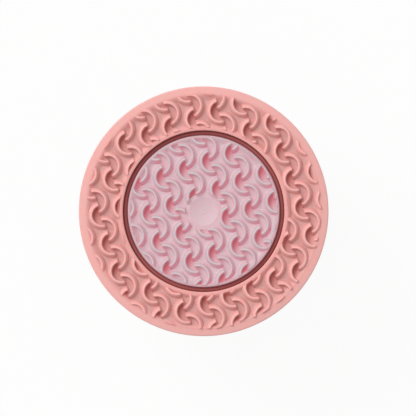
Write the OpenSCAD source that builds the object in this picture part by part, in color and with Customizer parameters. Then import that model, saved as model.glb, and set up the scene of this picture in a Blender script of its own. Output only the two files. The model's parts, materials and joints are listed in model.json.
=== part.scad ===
// Palm-held facial cleansing brush with a counter-rotating face.
// The brush lies on its flat foot with the face up: +Z leaves the face,
// and the origin is at the centre of the foot, on the surface it stands on.

/* [Brush face] */
// Outside diameter of the outer brush ring
head_d = 60; // [59.5:0.5:64]
// Diameter of the opening in the outer brush ring
ring_bore_d = 38.8; // [38.6:0.1:39.2]
// Diameter of the inner brush disc
disc_d = 36.4; // [36:0.1:36.6]
// Thickness of the silicone floor under the ridges
skin_t = 1.4; // [1.2:0.1:1.8]
// Thickness of the silicone that wraps the side of the head
wrap_t = 1.2; // [1:0.1:1.6]
// Height of the ridges above the silicone floor
ridge_h = 1.1; // [0.8:0.1:1.5]
// Radius of a ridge's half circle, at its crest
ridge_r = 2.48; // [2.2:0.05:2.6]
// Width of the rounded crest of a ridge
crest_w = 0.3; // [0.2:0.05:0.4]
// Distance between ridges along a row
row_pitch = 5.84; // [5.6:0.05:6.4]
// Distance between the rows of ridges
row_gap = 7.14; // [7:0.05:7.6]
// Turn of the ridge pattern on the face, in degrees
row_turn = 19.2; // [0:0.2:45]
// Radius of the shallow dish in the middle of the disc
dish_r = 3.33; // [2.5:0.1:3.8]
// Depth of that dish
dish_depth = 0.75; // [0.4:0.05:1]
// Width of the plain band round the dish
dish_band = 0.92; // [0.5:0.1:1.5]
// Width of the plain rim round the outer ring
rim_w = 1.9; // [1.5:0.1:2.5]
// How far the rims lie below the crests of the ridges
rim_drop = 0.3; // [0.2:0.05:0.5]
// Width of the slope that climbs from the floor to a rim
slope_w = 1.5; // [1.2:0.1:2]

/* [Head mechanism] */
// Gear module of the star gear train in the head
head_module = 0.8; // [0.75:0.01:0.8]
// Teeth of the centre gear
sun_teeth = 15; // [12, 15]
// Teeth of each of the three idler gears
planet_teeth = 12; // [12]
// Thickness of the head's gears
gear_t = 2.4; // [2:0.1:2.8]
// Diameter of the idler pins
planet_pin_d = 2.4; // [2:0.1:2.6]
// Diameter of the journal on which the outer ring turns
journal_d = 43.8; // [43.6:0.1:46]
// Wall of the head's moulded parts
head_wall = 1.4; // [1.2:0.1:1.6]
// Thickness of the rigid plates that carry the silicone
carrier_t = 1.4; // [1.2:0.1:2]
// Diameter of the disc's hub
hub_d = 7.2; // [7:0.1:7.4]
// Width across the flats of the hexagonal drive
hex_af = 4; // [3.6:0.1:4.2]

/* [Body] */
// Height of the body, from the surface it stands on to its deck
deck_z = 37; // [36:0.5:45]
// Height of the joint between the rear cover and the main shell
split_z = 9; // [8.6:0.2:10]
// Radius of the rear cover at its foot
foot_r = 25; // [25:0.1:26]
// Largest radius of the body
belly_r = 28.4; // [28:0.1:29]
// Radius of the waist under the head
waist_r = 25.4; // [25.4:0.1:26.5]
// Radius of the shoulder just under the head
shoulder_r = 27.4; // [26.5:0.1:28]
// Wall thickness of the body's shells
wall = 2; // [1.8:0.1:2.2]
// Thickness of the grip sleeve
sleeve_t = 1.2; // [1:0.1:1.4]
// Number of grooves round the grip sleeve
grip_grooves = 5; // [3:1:6]
// Thickness of the foot pad
foot_pad_t = 1.5; // [1.2:0.1:2]
// Diameter of the spigot that the head pushes on to
spigot_d = 28; // [27.6:0.1:28]
// Height of that spigot above the deck
spigot_h = 5; // [4.8:0.1:5.2]

/* [Drive] */
// Gear module of the reduction gears
drive_module = 0.5; // [0.48:0.01:0.5]
// Teeth of the pinions
pinion_teeth = 12; // [12]
// Teeth of the driven gears
wheel_teeth = 34; // [32, 34]
// Face width of the reduction gears
drive_gear_t = 2.2; // [2:0.1:2.4]
// Diameter of the motor can
motor_d = 15; // [13:0.5:15]
// Height of the motor, with its end cap
motor_h = 13; // [12:0.5:13.5]
// Diameter of the drive spindle
spindle_d = 4.6; // [4.6:0.1:4.9]

/* [Power and control] */
// Length, width and thickness of the cell
cell_size = [26, 22, 6]; // [5:0.5:26]
// Diameter of the circuit board
board_d = 37.6; // [37:0.2:38]
// Thickness of the circuit board
board_t = 1.2; // [1:0.1:1.6]
// Width and height of the power button
button_size = [12, 5.6]; // [5:0.1:13]
// Travel of the power button
button_travel = 0.7; // [0.4:0.1:1]

/* [Fits] */
// Radial clearance of a shaft or hub that turns in a bush
run_gap = 0.05; // [0.03:0.01:0.08]
// Radial clearance of pieces that are pressed or seated together
seat_gap = 0.02; // [0.01:0.01:0.03]
// Clearance between faces that move past each other
air_gap = 0.2; // [0.15:0.05:0.3]
// Flank clearance of each gear
flank_gap = 0.05; // [0.03:0.01:0.07]

/* [Hidden] */
$fn = 96;
eps = 0.01;

// Colours of the finishes
salmon = "#e2a09b";
pale_pink = "#dec0c3";
maroon = "#82423c";
blush = "#e9b4ae";
white_resin = "#eeeae4";
acetal = "#f4f1e8";
steel = "#b9bcc0";
dark_rubber = "#3a3336";

// Radii of the head
head_r = head_d / 2;
bore_r = ring_bore_d / 2;
disc_r = disc_d / 2;
journal_r = journal_d / 2;
hub_r = hub_d / 2;
skirt_r = head_r - wrap_t;
spigot_r = spigot_d / 2;
socket_gap = 0.12;
socket_r = spigot_r + socket_gap;
carrier_lip_t = 1.1;
pad_carrier_r = disc_r - carrier_lip_t;

// Levels of the head, from the deck up
slip_gap = 0.1;
head_z = deck_z + 0.4;
base_plate_t = 1.6;
socket_floor_z = deck_z + spigot_h + 0.3;
socket_floor_t = 1.5;
bush_flange_t = 0.3;
gear_z = socket_floor_z + socket_floor_t + bush_flange_t + slip_gap;
gear_top = gear_z + gear_t;
shelf_z = gear_top + slip_gap;
plate_z = shelf_z + air_gap;
plate_top = plate_z + carrier_t;
floor_z = plate_top + skin_t;
crest_z = floor_z + ridge_h;
rim_z = crest_z - rim_drop;
skirt_z = head_z + base_plate_t + 0.6;
washer_t = 0.5;
carrier_web_z = plate_z - 0.9;
washer_z = carrier_web_z - slip_gap - washer_t;
hub_z = deck_z + 3.4;
clip_t = 0.5;
clip_z = socket_floor_z - 1;
clip_groove_r = hub_r - 0.6;

// Star gear train: three idlers on fixed pins between the disc and the ring
planet_count = 3;
ring_teeth = sun_teeth + 2 * planet_teeth;
planet_orbit = head_module * (sun_teeth + planet_teeth) / 2;
ring_root_r = head_module * (ring_teeth / 2 + 1.25);
ring_tip_r = head_module * (ring_teeth / 2 - 1);
planet_pin_r = planet_pin_d / 2;

// Reduction gears between the motor and the spindle
drive_centres = drive_module * (pinion_teeth + wheel_teeth) / 2;
motor_bearing = 195;
compound_pos = [0, drive_centres];
motor_pos = compound_pos + drive_centres * [cos(motor_bearing), sin(motor_bearing)];
spindle_r = spindle_d / 2;
spindle_foot_r = 1.5;
axle_r = 1;
motor_shaft_r = 0.75;
motor_r = motor_d / 2;

// Levels of the body, from the foot up
foot_z = 0.5;
cover_floor_t = 2.6;
cover_floor = foot_z + cover_floor_t;
foot_pad_r = foot_r - 0.8;
foot_pocket = foot_pad_t - foot_z;
deck_t = 2;
deck_under = deck_z - deck_t;
output_z = deck_under - 1.8 - drive_gear_t;
wheel_z = output_z - 0.2 - drive_gear_t;
gear_plate_t = 1.5;
gear_plate_z = wheel_z - 0.4 - gear_plate_t;
motor_z = gear_plate_z - motor_h;
cell_top = cover_floor + cell_size[2];
foam_t = 0.7;
board_z = cell_top + foam_t;
board_top = board_z + board_t;
board_r = board_d / 2;

// Lip of the rear cover, and the button just above it
lip_h = 2;
lip_groove_z = split_z + 0.4;
lip_groove_w = 1;
button_seal_t = 1.1;
button_z = split_z + lip_h + 0.3 + button_size[1] / 2 + button_seal_t;

// Body outline
belly_rise = 5;
waist_drop = 9;
belly_z = split_z + belly_rise;
waist_z = deck_z - waist_drop;
lip_t = 1.5;
sleeve_low = button_z + button_size[1] / 2 + button_seal_t + 0.7;
sleeve_high = deck_z - 3.4;
shell_inner = belly_r - 0.2 - wall;
cover_top_r = belly_r - 0.3;

function ease(t) = (1 - cos(180 * t)) / 2;
function body_r(z) =
  z < belly_z ? cover_top_r + (belly_r - cover_top_r) * ease((z - split_z) / (belly_z - split_z)) :
  z < waist_z ? belly_r + (waist_r - belly_r) * ease((z - belly_z) / (waist_z - belly_z)) :
  waist_r + (shoulder_r - waist_r) * ease(min(1, (z - waist_z) / (deck_z - 1.5 - waist_z)));
function body_line(z0, z1, inset, steps) =
  [for (i = [0:steps]) let (z = z0 + (z1 - z0) * i / steps) [body_r(z) - inset, z]];
function polar(r, a) = [r * cos(a), r * sin(a)];

// Fasteners and their places
screw_orbit = 21.8;
screw_bearings = [90, 210, 330];
screw_shank_r = 1;
screw_head_r = 1.9;
screw_boss_r = 2.3;
plate_post_orbit = 18;
plate_post_bearings = [38, 188, 285];
plate_post_r = 2.2;
small_shank_r = 0.8;
small_head_r = 1.4;
board_post_r = 1.7;
board_posts = [[16.4, -2], [-16.4, -2], [0, 14.6], [-9.5, -13.2]];
motor_screw_orbit = 5;
motor_screws_at = [for (a = [motor_bearing, motor_bearing + 90]) motor_pos + polar(motor_screw_orbit, a)];
contact_pos = [[4.6, -14.6], [-4.6, -14.6]];
contact_head_r = 1.5;
contact_stem_r = 0.8;
magnet_r = 3.5;
magnet_t = 1.6;
magnet_orbit = 19;
magnet_bearings = [20, 160];

// Button, on the -Y side of the body
button_face = belly_r + 0.5;
button_back = shell_inner - 2.2;
tact_size = [6.2, 3.6, button_z - board_top + 2];
tact_face = board_r - 0.2;
plunger_r = 1.4;
plunger_l = 2.6;
plunger_out = button_travel + air_gap;
button_flange = 1;
button_stem_r = 1.8;
light_bearing = -66;
light_r = 0.9;

// Involute gears
pressure_angle = 25;
flank_steps = 4;
function involute(a) = tan(a) * 180 / PI - a;
function half_tooth(r, teeth, m, gap) =
  let (pitch_r = m * teeth / 2, base_r = pitch_r * cos(pressure_angle))
  90 / teeth - gap / pitch_r * 180 / PI + involute(pressure_angle)
    - (r > base_r ? involute(acos(base_r / r)) : 0);
function gear_outline(teeth, m, tip, root, gap) =
  let (base_r = m * teeth / 2 * cos(pressure_angle), low = max(base_r, root))
  [for (i = [0:teeth - 1]) let (mid = 360 * i / teeth)
    each concat(
      low > root ? [polar(root, mid - half_tooth(low, teeth, m, gap))] : [],
      [for (s = [0:flank_steps]) let (r = low + (tip - low) * s / flank_steps)
        polar(r, mid - half_tooth(r, teeth, m, gap))],
      [for (s = [flank_steps:-1:0]) let (r = low + (tip - low) * s / flank_steps)
        polar(r, mid + half_tooth(r, teeth, m, gap))],
      low > root ? [polar(root, mid + half_tooth(low, teeth, m, gap))] : [])];

// A spur gear with one tooth on its own X axis
module spur(teeth, m, t) {
  linear_extrude(t)
    polygon(gear_outline(teeth, m, m * (teeth / 2 + 1), m * (teeth / 2 - 1.25), flank_gap));
}

module ring_of(r_out, r_in, z0, z1) {
  translate([0, 0, z0]) difference() {
    cylinder(r = r_out, h = z1 - z0);
    translate([0, 0, -1]) cylinder(r = r_in, h = z1 - z0 + 2);
  }
}

module peg(pos, r, z0, z1) {
  translate([pos[0], pos[1], z0]) cylinder(r = r, h = z1 - z0);
}

module pan_screw(pos, shank_r, head_r, z_tip, z_seat, head_t) {
  // z_seat is where the head bears, and the tip may lie above or below it
  up = z_tip > z_seat ? 1 : -1;
  translate([pos[0], pos[1], z_seat]) scale_z(up) difference() {
    union() {
      cylinder(r = shank_r, h = abs(z_tip - z_seat));
      translate([0, 0, -head_t]) cylinder(r = head_r, h = head_t);
    }
    translate([0, 0, -head_t - 1]) for (a = [0, 90]) rotate(a)
      translate([-head_r * 0.6, -head_r * 0.12, 0]) cube([head_r * 1.2, head_r * 0.24, 1 + head_t * 0.5]);
  }
}

module scale_z(up) {
  if (up > 0) children(); else mirror([0, 0, 1]) children();
}

// Two half circles of radius r, the given width apart, as one flat outline
module pill(w, h) {
  square([w - h, h], center = true);
  for (s = [-1, 1]) translate([s * (w - h) / 2, 0]) circle(d = h);
}

// A pill outline pushed along Y, between the two distances from the axis
module button_prism(w, h, y_out, y_in) {
  translate([0, -y_in, button_z]) rotate([90, 0, 0]) linear_extrude(y_out - y_in) pill(w, h);
}

/* Ridges of the brush face */
ridge_back = ridge_r + crest_w / 2;
ridge_foot = row_gap / 2 - 0.06;
ridge_lean = 0.33;
ridge_shift = 0.57;

// Half circle with a steep hollow side, a narrow crest and a round back
module ridge() {
  rotate_extrude(angle = 180) polygon([
    [ridge_r - ridge_lean, -skin_t / 2],
    [ridge_r - ridge_lean, 0],
    [ridge_r - crest_w / 2, ridge_h - 0.06],
    [ridge_r, ridge_h],
    [ridge_back, ridge_h - 0.03],
    [ridge_back + (ridge_foot - ridge_back) * 0.6, ridge_h * 0.72],
    [ridge_back + (ridge_foot - ridge_back) * 0.9, ridge_h * 0.36],
    [ridge_foot, 0],
    [ridge_foot, -skin_t / 2]
  ]);
}

// Rows of ridges that bulge one way, with rows between them that bulge the other way
module ridge_rows(r_in, r_out, near_first) {
  reach = ceil(r_out / row_pitch) + 1;
  first = near_first ? -90 : 90;
  lead = near_first ? -ridge_shift : 0;
  follow = near_first ? 0 : -ridge_shift;
  rotate(row_turn) for (i = [-reach:reach], j = [-reach:reach]) {
    a = [i * row_pitch + lead, j * row_gap];
    b = [i * row_pitch + follow, (j + 0.5) * row_gap];
    if (norm(a) > r_in - ridge_foot && norm(a) < r_out + ridge_foot) translate(a) rotate(first) ridge();
    if (norm(b) > r_in - ridge_foot && norm(b) < r_out + ridge_foot) translate(b) rotate(-first) ridge();
  }
}

/* Head */
module inner_brush_pad() {
  band_r = dish_r + dish_band;
  ball_r = (dish_r * dish_r + dish_depth * dish_depth) / (2 * dish_depth);
  edge = 0.3;
  ridge_out = disc_r - 0.5;
  rim_rise = rim_z - floor_z;
  skin_low = plate_z + 0.2;
  nub_r = 0.45;
  nub_h = 0.12;
  color(pale_pink) {
    difference() {
      union() {
        rotate_extrude() polygon([
          [0, plate_top], [pad_carrier_r + seat_gap, plate_top], [pad_carrier_r + seat_gap, skin_low],
          [disc_r, skin_low], [disc_r, rim_z - edge], [disc_r - edge, rim_z], [ridge_out, rim_z],
          [ridge_out - slope_w * 0.4, rim_z - rim_rise * 0.4], [ridge_out - slope_w, floor_z], [0, floor_z]
        ]);
        intersection() {
          translate([0, 0, floor_z]) ridge_rows(band_r, ridge_out, true);
          ring_of(ridge_out, band_r, floor_z - skin_t / 4, crest_z + 1);
        }
      }
      translate([0, 0, floor_z - dish_depth + ball_r]) sphere(r = ball_r);
    }
    translate([0, 0, floor_z - dish_depth - nub_h]) cylinder(r = nub_r, h = 2 * nub_h);
  }
}

module inner_pad_carrier() {
  color(white_resin) difference() {
    union() {
      translate([0, 0, plate_z]) cylinder(r = pad_carrier_r, h = carrier_t);
      translate([0, 0, hub_z]) cylinder(r = hub_r, h = plate_z - hub_z + eps);
    }
    translate([0, 0, hub_z - 1]) cylinder(r = hex_socket_r, h = hex_tip_z + 0.4 - hub_z + 1, $fn = 6);
    difference() {
      translate([0, 0, clip_z - 0.05]) cylinder(r = hub_r + 1, h = clip_t + 0.1);
      translate([0, 0, clip_z - 1]) cylinder(r = clip_groove_r, h = clip_t + 2);
    }
  }
}

hex_r = hex_af / 2 / cos(30);
hex_socket_r = (hex_af / 2 + 0.1) / cos(30);
hex_tip_z = plate_z - 0.6;

module sun_gear() {
  color(acetal) difference() {
    translate([0, 0, gear_z]) rotate(planet_bearing(0)) spur(sun_teeth, head_module, gear_t);
    translate([0, 0, gear_z - 1]) cylinder(r = hub_r + seat_gap, h = gear_t + 2);
  }
}

function planet_bearing(i) = 90 + 360 / planet_count * i;
function planet_pos(i) = polar(planet_orbit, planet_bearing(i));

module planet_gear(i) {
  color(acetal) translate(planet_pos(i)) difference() {
    translate([0, 0, gear_z]) rotate(planet_bearing(i) + 180 + 180 / planet_teeth)
      spur(planet_teeth, head_module, gear_t);
    translate([0, 0, gear_z - 1]) cylinder(r = planet_pin_r + run_gap, h = gear_t + 2);
  }
}

module planet_pins() {
  color(steel) for (i = [0:planet_count - 1])
    peg(planet_pos(i), planet_pin_r, socket_floor_z, gear_top);
}

bush_r = hub_r + 1.6;

module hub_bush() {
  color(acetal) difference() {
    union() {
      translate([0, 0, socket_floor_z - 0.2]) cylinder(r = bush_r, h = socket_floor_t + 0.2 + eps);
      translate([0, 0, socket_floor_z + socket_floor_t]) cylinder(r = bush_r + 1, h = bush_flange_t);
    }
    translate([0, 0, socket_floor_z - 1]) cylinder(r = hub_r + run_gap, h = 4);
  }
}

module hub_clip() {
  color(steel) translate([0, 0, clip_z]) rotate(125) rotate_extrude(angle = 290)
    translate([clip_groove_r + seat_gap, 0]) square([1.6, clip_t]);
}

module outer_brush_ring() {
  edge = 0.3;
  rim_r = 2;
  ridge_out = head_r - rim_w;
  ridge_in = bore_r + 0.8;
  rim_rise = rim_z - floor_z;
  color(salmon) {
    rotate_extrude() polygon(concat(
      [[bore_r, plate_top], [bore_r, rim_z - edge], [bore_r + edge, rim_z], [ridge_in, rim_z],
       [ridge_in + slope_w * 0.4, rim_z - rim_rise * 0.4], [ridge_in + slope_w, floor_z],
       [ridge_out - slope_w, floor_z], [ridge_out - slope_w * 0.5, floor_z + rim_rise * 0.5]],
      [for (a = [90:-15:0]) [head_r - rim_r, rim_z - rim_r] + rim_r * [cos(a), sin(a)]],
      [[head_r, skirt_z + 1], [head_r - 0.5, skirt_z], [skirt_r + seat_gap, skirt_z],
       [skirt_r + seat_gap, plate_top]]));
    intersection() {
      translate([0, 0, floor_z]) ridge_rows(ridge_in, ridge_out, false);
      ring_of(ridge_out, ridge_in, floor_z - skin_t / 4, crest_z + 1);
    }
  }
}

module ring_gear_carrier() {
  bead = 0.6;
  gear_ring_r = journal_r - head_wall;
  color(white_resin) difference() {
    rotate_extrude() polygon([
      [head_module * (ring_teeth / 2 - 2), gear_z], [gear_ring_r, gear_z],
      [gear_ring_r, journal_foot], [journal_r + bead - 0.3, journal_foot],
      [journal_r + bead, journal_foot + 0.3], [journal_r + bead, journal_foot + 1.2],
      [journal_r, journal_foot + 1.6], [journal_r, carrier_web_z],
      [skirt_r - head_wall, carrier_web_z], [skirt_r - head_wall, skirt_z], [skirt_r, skirt_z],
      [skirt_r, plate_top], [bore_r, plate_top], [bore_r, shelf_z],
      [head_module * (ring_teeth / 2 - 2), shelf_z]
    ]);
    translate([0, 0, gear_z - 1]) rotate(planet_bearing(0) + 180 / ring_teeth) linear_extrude(gear_t + 3)
      polygon(gear_outline(ring_teeth, head_module, ring_root_r, ring_tip_r, -flank_gap));
  }
}

journal_foot = head_z + base_plate_t + 1.4;
undercut_top = journal_foot + 2;
sleeve_bore_r = journal_r + slip_gap;
undercut_r = journal_r + 0.9;
socket_out_r = socket_r + 1.8;

module gap_seal() {
  seal_in = disc_r + air_gap;
  seal_out = bore_r - seat_gap;
  seal_mid = (seal_in + seal_out) / 2;
  seal_round = (seal_out - seal_in) / 2;
  seal_top = floor_z - 0.3;
  color(maroon) rotate_extrude() polygon(concat(
    [[seal_in, shelf_z], [seal_out, shelf_z]],
    [for (a = [0:22.5:180]) [seal_mid, seal_top - seal_round] + seal_round * [cos(a), sin(a)]]));
}

module thrust_washer() {
  color(acetal) ring_of(sleeve_bore_r + head_wall, sleeve_bore_r, washer_z, washer_z + washer_t);
}

module head_base() {
  color(white_resin) difference() {
    rotate_extrude() polygon([
      [bush_r + seat_gap, socket_floor_z], [socket_r, socket_floor_z], [socket_r, head_z],
      [skirt_r - 0.4, head_z], [skirt_r, head_z + 0.4], [skirt_r, head_z + base_plate_t],
      [sleeve_bore_r + head_wall, head_z + base_plate_t], [sleeve_bore_r + head_wall, washer_z],
      [sleeve_bore_r, washer_z], [sleeve_bore_r, undercut_top], [undercut_r, undercut_top],
      [undercut_r, head_z + base_plate_t], [socket_out_r, head_z + base_plate_t],
      [socket_out_r, socket_floor_z + socket_floor_t], [bush_r + seat_gap, socket_floor_z + socket_floor_t]
    ]);
    for (i = [0:planet_count - 1])
      peg(planet_pos(i), planet_pin_r + seat_gap, socket_floor_z - 1, socket_floor_z + socket_floor_t + 1);
    for (a = key_bearings) rotate(a)
      translate([spigot_r - 1, -key_w / 2 - key_gap, head_z - 1])
        cube([1 + key_out + 2 * key_gap, key_w + 2 * key_gap, key_h + 1.2]);
  }
}

key_bearings = [30, 150, 270];
key_gap = 0.15;
key_w = 3;
key_h = 1.8;
key_out = 0.9;
key_root = 0.5;

/* Body */
module main_shell() {
  groove_w = 1.6;
  groove_z = o_ring_z - groove_w / 2;
  post_top = deck_under + eps;
  boss_top = belly_z + 5;
  web_t = 2.4;
  axle_boss_r = 2.6;
  spigot_wall = 2.6;
  joint_edge = 0.2;
  color(blush) difference() {
    union() {
      rotate_extrude() polygon(concat(
        [[shell_inner, split_z], [body_r(split_z) - joint_edge, split_z]],
        body_line(split_z + joint_edge, sleeve_low, 0, 6),
        body_line(sleeve_low, sleeve_high, sleeve_t, 10),
        body_line(sleeve_high, deck_z - 1.5, 0, 2),
        [[shoulder_r - 0.3, deck_z - 0.5], [shoulder_r - 1, deck_z],
         [spigot_r, deck_z], [spigot_r, groove_z], [o_ring_seat_r, groove_z],
         [o_ring_seat_r, groove_z + groove_w], [spigot_r, groove_z + groove_w],
         [spigot_r, deck_z + spigot_h - 0.5], [spigot_r - 0.5, deck_z + spigot_h],
         [spigot_r - spigot_wall, deck_z + spigot_h], [spigot_r - spigot_wall, deck_z],
         [seal_boss_r, deck_z], [seal_boss_r, seal_top], [shaft_seal_r + seat_gap, seal_top],
         [shaft_seal_r + seat_gap, deck_z], [bush_seat_r + seat_gap, deck_z],
         [bush_seat_r + seat_gap, bush_z], [seal_boss_r, bush_z], [seal_boss_r, deck_under],
         [body_r(deck_under) - sleeve_t - wall, deck_under]],
        [for (i = [8:-1:0]) let (z = sleeve_low + 0.8 + (deck_under - 2 - sleeve_low) * i / 8)
          [body_r(z) - sleeve_t - wall, z]],
        [[body_r(sleeve_low) - wall, sleeve_low - 0.8], [shell_inner, button_z]]));
      for (a = screw_bearings) {
        peg(polar(screw_orbit, a), screw_boss_r, split_z, boss_top);
        rotate(a) translate([screw_orbit, -web_t / 2, split_z + lip_h + 0.4])
          cube([shell_inner + 0.6 - screw_orbit, web_t, belly_z + 2 - split_z - lip_h]);
      }
      for (a = plate_post_bearings)
        peg(polar(plate_post_orbit, a), plate_post_r, gear_plate_z + gear_plate_t, post_top);
      peg(compound_pos, axle_boss_r, output_z + drive_gear_t + 0.3, post_top);
      for (a = key_bearings) rotate(a)
        translate([spigot_r - key_root, -key_w / 2, deck_z - eps]) cube([key_root + key_out, key_w, key_h]);
    }
    for (a = screw_bearings)
      peg(polar(screw_orbit, a), screw_shank_r + seat_gap, split_z - 1, screw_tip_z + 0.5);
    for (a = plate_post_bearings)
      peg(polar(plate_post_orbit, a), small_shank_r + seat_gap, gear_plate_z, gear_plate_z + gear_plate_t + 4.5);
    peg(compound_pos, axle_r + seat_gap, output_z, deck_under + 0.3);
    button_prism(button_size[0] + 2 * button_seal_t, button_size[1] + 2 * button_seal_t,
      belly_r + 2, shell_inner - 2);
    radial_peg(light_r + seat_gap, shell_inner - 3, belly_r + 2);
  }
}

module radial_peg(r, r0, r1) {
  rotate(light_bearing) translate([r0, 0, button_z]) rotate([0, 90, 0]) cylinder(r = r, h = r1 - r0);
}

screw_tip_z = split_z + 6;
shaft_seal_r = 4.2;
seal_boss_r = shaft_seal_r + 1.2;
seal_top = deck_z + 2;
bush_seat_r = spindle_r + 1.4;
bush_z = output_z + drive_gear_t + air_gap;
o_ring_seat_r = spigot_r - 1.4;
o_ring_z = deck_z + 3.1;
lip_r = shell_inner - 0.1;

module rear_cover() {
  joint_edge = 0.2;
  edge_z = split_z - joint_edge;
  screw_column_r = 2.9;
  color(blush) difference() {
    union() {
      rotate_extrude() polygon(concat(
        [[0, foot_z + foot_pocket], [foot_pad_r + 0.05, foot_z + foot_pocket], [foot_pad_r + 0.05, foot_z]],
        [for (a = [0:10:90])
          [foot_r + (cover_top_r - foot_r) * sin(a), foot_z + (edge_z - foot_z) * (1 - cos(a))]],
        [[cover_top_r - joint_edge, split_z], [lip_r, split_z], [lip_r, lip_groove_z],
         [housing_seal_seat, lip_groove_z], [housing_seal_seat, lip_groove_z + lip_groove_w],
         [lip_r, lip_groove_z + lip_groove_w], [lip_r, split_z + lip_h], [lip_r - lip_t, split_z + lip_h],
         [lip_r - lip_t, split_z - 3], [lip_r - lip_t - 1.5, cover_floor], [0, cover_floor]]));
      for (a = screw_bearings) peg(polar(screw_orbit, a), screw_column_r, cover_floor - eps, split_z);
      for (p = board_posts) peg(p, board_post_r, cover_floor - eps, board_z);
      for (a = magnet_bearings)
        peg(polar(magnet_orbit, a), magnet_r + 1, cover_floor - eps, cover_floor + magnet_t * 0.7);
    }
    for (a = screw_bearings) {
      peg(polar(screw_orbit, a), screw_shank_r + 0.1, foot_z - 1, split_z + 1);
      peg(polar(screw_orbit, a), screw_head_r + 0.2, foot_z - 1, screw_seat_z);
    }
    for (p = board_posts) peg(p, small_shank_r + seat_gap, cover_floor + 1, board_z + 1);
    for (a = magnet_bearings)
      peg(polar(magnet_orbit, a), magnet_r + seat_gap, cover_floor, cover_floor + magnet_t + 1);
    for (p = contact_pos) peg(p, contact_stem_r + seat_gap, foot_z - 1, cover_floor + 1);
  }
}

screw_seat_z = foot_z + foot_pocket + 2;
housing_seal_d = 0.96;
seal_proud = 0.07;
housing_seal_seat = lip_r + seal_proud - 0.01 - housing_seal_d;

module housing_seal() {
  color(dark_rubber) translate([0, 0, lip_groove_z + lip_groove_w / 2]) rotate_extrude()
    translate([lip_r + seal_proud - housing_seal_d / 2, 0]) circle(d = housing_seal_d, $fn = 32);
}

module grip_sleeve() {
  steps = 4 * grip_grooves;
  proud = 0.25;
  groove_d = 0.35;
  color(salmon) rotate_extrude() polygon(concat(
    [for (i = [0:steps]) let (z = sleeve_low + (sleeve_high - sleeve_low) * i / steps)
      [body_r(z) + proud - groove_d * abs(cos(45 * i)), z]],
    [for (i = [10:-1:0]) let (z = sleeve_low + (sleeve_high - sleeve_low) * i / 10)
      [body_r(z) - sleeve_t + seat_gap, z]]));
}

module head_o_ring() {
  o_d = 1.44;
  color(dark_rubber) translate([0, 0, o_ring_z]) rotate_extrude()
    translate([o_ring_seat_r + 0.03 + o_d / 2, 0]) circle(d = o_d, $fn = 32);
}

module foot_pad() {
  color(salmon) difference() {
    rotate_extrude() polygon([
      [0, 0], [foot_pad_r - 0.5, 0], [foot_pad_r, 0.5], [foot_pad_r, foot_pad_t], [0, foot_pad_t]
    ]);
    for (p = contact_pos) peg(p, contact_head_r + 0.4, -1, foot_pad_t + 1);
  }
}

module housing_screws() {
  color(steel) for (a = screw_bearings)
    pan_screw(polar(screw_orbit, a), screw_shank_r, screw_head_r, screw_tip_z, screw_seat_z, 1.5);
}

/* Drive */
module drive_spindle() {
  color(steel) {
    translate([0, 0, gear_plate_z]) cylinder(r = spindle_foot_r, h = output_z - gear_plate_z);
    translate([0, 0, output_z - eps]) cylinder(r = spindle_r, h = seal_top + 0.6 - output_z);
    translate([0, 0, seal_top]) cylinder(r = hex_r, h = hex_tip_z - seal_top, $fn = 6);
  }
}

module spindle_bush() {
  color("#c49a5a") ring_of(bush_seat_r, spindle_r + run_gap, bush_z, deck_z);
}

module shaft_seal() {
  color(dark_rubber) rotate_extrude() polygon([
    [spindle_r + run_gap, deck_z + 0.2], [shaft_seal_r, deck_z], [shaft_seal_r, seal_top],
    [shaft_seal_r - 0.8, seal_top], [spindle_r + 1, deck_z + 0.9], [spindle_r + run_gap, seal_top - 0.3]
  ]);
}

module output_gear() {
  color(acetal) difference() {
    translate([0, 0, output_z]) spur(wheel_teeth, drive_module, drive_gear_t);
    translate([0, 0, output_z - 1]) cylinder(r = spindle_r + seat_gap, h = drive_gear_t + 2);
  }
}

// The output gear has a tooth on +X, so its phase towards the compound gear is known
output_phase = 90 / (360 / wheel_teeth) - floor(90 / (360 / wheel_teeth));

module compound_gear() {
  small_turn = 270 + 180 / pinion_teeth - output_phase * 360 / pinion_teeth;
  color(acetal) translate(compound_pos) difference() {
    union() {
      translate([0, 0, wheel_z]) rotate(motor_bearing) spur(wheel_teeth, drive_module, drive_gear_t);
      translate([0, 0, output_z - 0.2 - eps]) rotate(small_turn)
        spur(pinion_teeth, drive_module, drive_gear_t + 0.2);
    }
    translate([0, 0, wheel_z - 1]) cylinder(r = axle_r + run_gap, h = 2 * drive_gear_t + 3);
  }
}

module compound_axle() {
  color(steel) peg(compound_pos, axle_r, gear_plate_z, deck_under + 0.1);
}

module gear_plate() {
  hole_z = gear_plate_z - 1;
  hole_top = gear_plate_z + gear_plate_t + 1;
  color(steel) difference() {
    translate([0, 0, gear_plate_z]) cylinder(r = waist_r - sleeve_t - wall - 0.6, h = gear_plate_t);
    peg([0, 0], spindle_foot_r + run_gap, hole_z, hole_top);
    peg(compound_pos, axle_r + seat_gap, hole_z, hole_top);
    peg(motor_pos, motor_nose_r + 0.1, hole_z, hole_top);
    for (p = motor_screws_at) peg(p, small_shank_r + seat_gap, hole_z, hole_top);
    for (a = plate_post_bearings) peg(polar(plate_post_orbit, a), small_shank_r + 0.1, hole_z, hole_top);
  }
}

motor_nose_r = 2.6;
motor_nose_h = 0.9;
end_cap_h = 2.4;
end_boss_r = 2.4;
end_boss_h = 0.6;
can_edge = 0.6;
lead_r = 0.55;
lead_orbit = 4.5;

module gear_plate_screws() {
  color(steel) for (a = plate_post_bearings)
    pan_screw(polar(plate_post_orbit, a), small_shank_r, small_head_r,
      gear_plate_z + gear_plate_t + 4, gear_plate_z, 1);
}

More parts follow.
